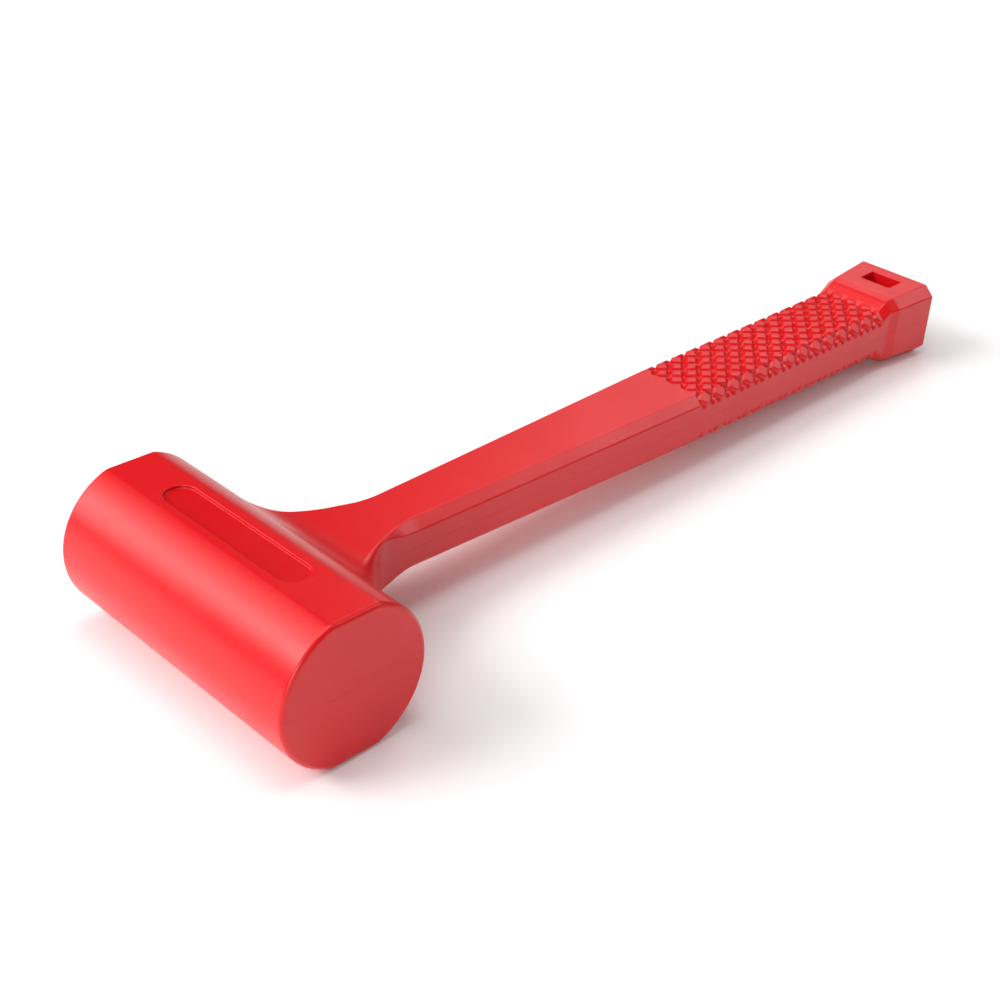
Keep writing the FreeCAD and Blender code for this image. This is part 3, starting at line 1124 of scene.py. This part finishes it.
@dataclass(frozen=True)
class WeldMetal:
    """Fillet weld as laid: dull rippled beads with straw and blue heat colours."""

    colour: Colour = (0.36, 0.35, 0.34)
    straw: Colour = (0.42, 0.33, 0.20)
    blue: Colour = (0.16, 0.19, 0.27)
    worn: Colour = (0.6, 0.6, 0.6)
    ripple_pitch: float = 1.4 * MM

    def build(self, shelf: Shelf) -> bpy.types.Material:
        """Build the material.

        Args:
            shelf: the shared node groups.

        Returns:
            The material.
        """
        recipe = Recipe("weld_bead")
        grain_look = {"Grain Scale": 1100.0, "Fine Share": 0.5, "Patch Scale": 160.0}
        grain = recipe.group(shelf.grain, recipe.places, grain_look)
        wear = recipe.group(shelf.wear, recipe.places, {"Break Scale": 700.0})
        ripple_look = {"Scale": 1.0 / self.ripple_pitch, "Vector": recipe.places}
        ripples = place(recipe.tree, "ShaderNodeTexVoronoi", ripple_look)
        patches = grain["Patches"]
        straw = recipe.mix_colour(recipe.ranged(patches, 0.0, 1.0, 0.4, 0.6), self.colour, self.straw)
        heat = recipe.mix_colour(recipe.ranged(patches, 0.0, 1.0, 0.55, 0.75), straw, self.blue)
        waves = recipe.relief(ripples["Distance"], 0.25 * MM, 0.8)
        return recipe.finish(
            {
                "Base Color": recipe.mix_colour(wear["Mask"], heat, self.worn),
                "Roughness": recipe.ranged(grain["Relief"], 0.4, 0.62),
                "Normal": recipe.relief(grain["Relief"], 0.05 * MM, 0.7, Normal=waves),
                "Metallic": 1.0,
            }
        )


def dress(item: bpy.types.Object, material: bpy.types.Material) -> None:
    """Give an object one material all over.

    Args:
        item: the object.
        material: its material.
    """
    if not item.data.materials:
        item.data.materials.append(material)
    for index in range(len(item.data.materials)):
        item.data.materials[index] = material
    LOG.info("dressed %s in %s", item.name, material.name)


@dataclass(frozen=True)
class SteelFrame:
    """The welded steel inside the moulding, whose CAD shapes are kept as they are."""

    tube: DrawnSteel = DrawnSteel(
        "drawn_tube_steel", (0.56, 0.56, 0.57), (0.33, 0.31, 0.29), (420.0, 22.0, 420.0)
    )
    cap: DrawnSteel = DrawnSteel(
        "turned_cap_steel", (0.60, 0.60, 0.61), (0.38, 0.36, 0.33), (300.0, 900.0, 300.0)
    )
    rod: DrawnSteel = DrawnSteel(
        "cold_drawn_rod_steel", (0.50, 0.50, 0.52), (0.30, 0.28, 0.26), (14.0, 650.0, 650.0)
    )
    weld: WeldMetal = WeldMetal()

    def build(self, shelf: Shelf) -> None:
        """Dress every steel piece of the frame.

        Args:
            shelf: the shared node groups.
        """
        nodes = frame["nodes"]
        weld = self.weld.build(shelf)
        cap = self.cap.build(shelf)
        dress(nodes["canister_tube"], self.tube.build(shelf))
        dress(nodes["handle_rod"], self.rod.build(shelf))
        for side in ("near", "far"):
            dress(nodes[f"canister_cap_{side}"], cap)
            dress(nodes[f"cap_weld_{side}"], weld)
        dress(nodes["rod_weld"], weld)


# ---------------------------------------------------------------- stage


@dataclass(frozen=True)
class Softbox:
    """One soft round light: its name, where it hangs as seen from the mallet, and its power."""

    name: str
    azimuth: float
    elevation: float
    watts: float


@dataclass(frozen=True)
class Studio:
    """Camera, pale floor and soft lights around the mallet."""

    azimuth: float = -45.983
    elevation: float = 31.256
    roll: float = 3.289
    target: Point = (64.60 * MM, -39.91 * MM, 52.01 * MM)
    distance: float = 473.24 * MM
    lens: float = 59.03
    floor_colour: Colour = (0.97, 0.965, 0.965)
    floor_size: float = 12.0
    floor_gap: float = 0.05 * MM
    flat_edge: float = 8.17 * MM
    sky_colour: Colour = (1.0, 1.0, 1.0)
    sky_strength: float = 0.07
    softbox_centre: Point = (0.1, 0.0, 0.02)
    softbox_distance: float = 4.0
    softbox_size: float = 1.82
    softboxes: tuple[Softbox, ...] = (
        Softbox("overhead", 0.0, 90.0, 39.7),
        Softbox("left_high", 180.0, 62.0, 13.2),
        Softbox("left_mid", 180.0, 38.0, 8.3),
        Softbox("left_key", 150.0, 38.0, 82.7),
        Softbox("left_low", 210.0, 18.0, 46.3),
        Softbox("far_high", 120.0, 62.0, 19.8),
        Softbox("far_key", 120.0, 38.0, 14.9),
        Softbox("far_low", 120.0, 18.0, 29.8),
        Softbox("butt_far", 30.0, 38.0, 16.5),
        Softbox("butt_near", 330.0, 38.0, 24.8),
    )

    def place_camera(self) -> None:
        """Stand the camera at its angle and distance."""
        turn = math.radians(self.azimuth)
        lift = math.radians(self.elevation)
        back = Vector(
            (math.sin(turn) * math.cos(lift), -math.cos(turn) * math.cos(lift), math.sin(lift))
        )
        right = Vector((math.cos(turn), math.sin(turn), 0.0))
        upward = back.cross(right)
        tilt = math.radians(self.roll)
        rolled_right = math.cos(tilt) * right + math.sin(tilt) * upward
        rolled_up = -math.sin(tilt) * right + math.cos(tilt) * upward
        data = bpy.data.cameras.new("studio_camera")
        data.lens = self.lens
        data.clip_start = 0.01
        data.clip_end = 50.0
        camera = bpy.data.objects.new("studio_camera", data)
        bpy.context.scene.collection.objects.link(camera)
        axes = Matrix((rolled_right, rolled_up, back)).transposed()
        place = Vector(self.target) + back * self.distance
        camera.matrix_world = Matrix.Translation(place) @ axes.to_4x4()
        bpy.context.scene.camera = camera

    def lay_floor(self, butt: Point) -> None:
        """Lay the pale floor under the head's lower edge and the butt's lower edge.

        Args:
            butt: lowest point of the butt.
        """
        slope = math.atan2(butt[2], butt[0] - self.flat_edge)
        deselect_all()
        bpy.ops.mesh.primitive_plane_add(size=self.floor_size)
        floor = bpy.context.object
        floor.name = "pale_floor"
        floor.rotation_euler = (0.0, -slope, 0.0)
        floor.location = (0.0, 0.0, -math.tan(slope) * self.flat_edge - self.floor_gap)
        settle(floor)
        paint = {"Base Color": self.floor_colour, "Roughness": 0.85, "Specular IOR Level": 0.1}
        floor.data.materials.append(Recipe("pale_floor").finish(paint))

    def hang_light(self, softbox: Softbox) -> None:
        """Hang one softbox so that it faces the mallet.

        Args:
            softbox: where it hangs and how strong it is.
        """
        data = bpy.data.lights.new(softbox.name, "AREA")
        data.shape = "DISK"
        data.size = self.softbox_size
        data.energy = softbox.watts
        light = bpy.data.objects.new(softbox.name, data)
        bpy.context.scene.collection.objects.link(light)
        turn = math.radians(softbox.azimuth)
        lift = math.radians(softbox.elevation)
        direction = Vector(
            (math.cos(turn) * math.cos(lift), math.sin(turn) * math.cos(lift), math.sin(lift))
        )
        light.location = Vector(self.softbox_centre) + direction * self.softbox_distance
        light.rotation_mode = "QUATERNION"
        light.rotation_quaternion = direction.to_track_quat("Z", "Y")

    def light_up(self) -> None:
        """Set the white surroundings and hang the softboxes."""
        world = bpy.data.worlds.new("white_studio")
        world.use_nodes = True
        sky = world.node_tree.nodes["Background"]
        sky.inputs["Color"].default_value = (*self.sky_colour, 1.0)
        sky.inputs["Strength"].default_value = self.sky_strength
        bpy.context.scene.world = world
        for softbox in self.softboxes:
            self.hang_light(softbox)
        bpy.context.scene.view_settings.view_transform = "Standard"


def main() -> None:
    """Build the mallet's visible pieces, dress them and set the stage."""
    logging.basicConfig(level=logging.INFO, format="%(name)s: %(message)s")
    shelf = Shelf()
    moulding = RedMoulding()
    shell = moulding.build()
    dress(shell, MouldedRed().build(shelf, moulding.axis_z))
    LOG.info("moulding: %d faces", len(shell.data.polygons))
    SteelFrame().build(shelf)
    charge = ShotCharge().build()
    shot_steel = DrawnSteel(
        "tumbled_shot_steel", (0.62, 0.62, 0.64), (0.40, 0.38, 0.36), (500.0, 500.0, 500.0)
    )
    dress(charge, shot_steel.build(shelf))
    LOG.info("shot charge: %d faces", len(charge.data.polygons))
    studio = Studio()
    studio.place_camera()
    butt_foot = moulding.axis_z - moulding.handle.butt_half_height
    studio.lay_floor((moulding.butt_end, 0.0, butt_foot))
    studio.light_up()


if __name__ == "__main__":
    main()
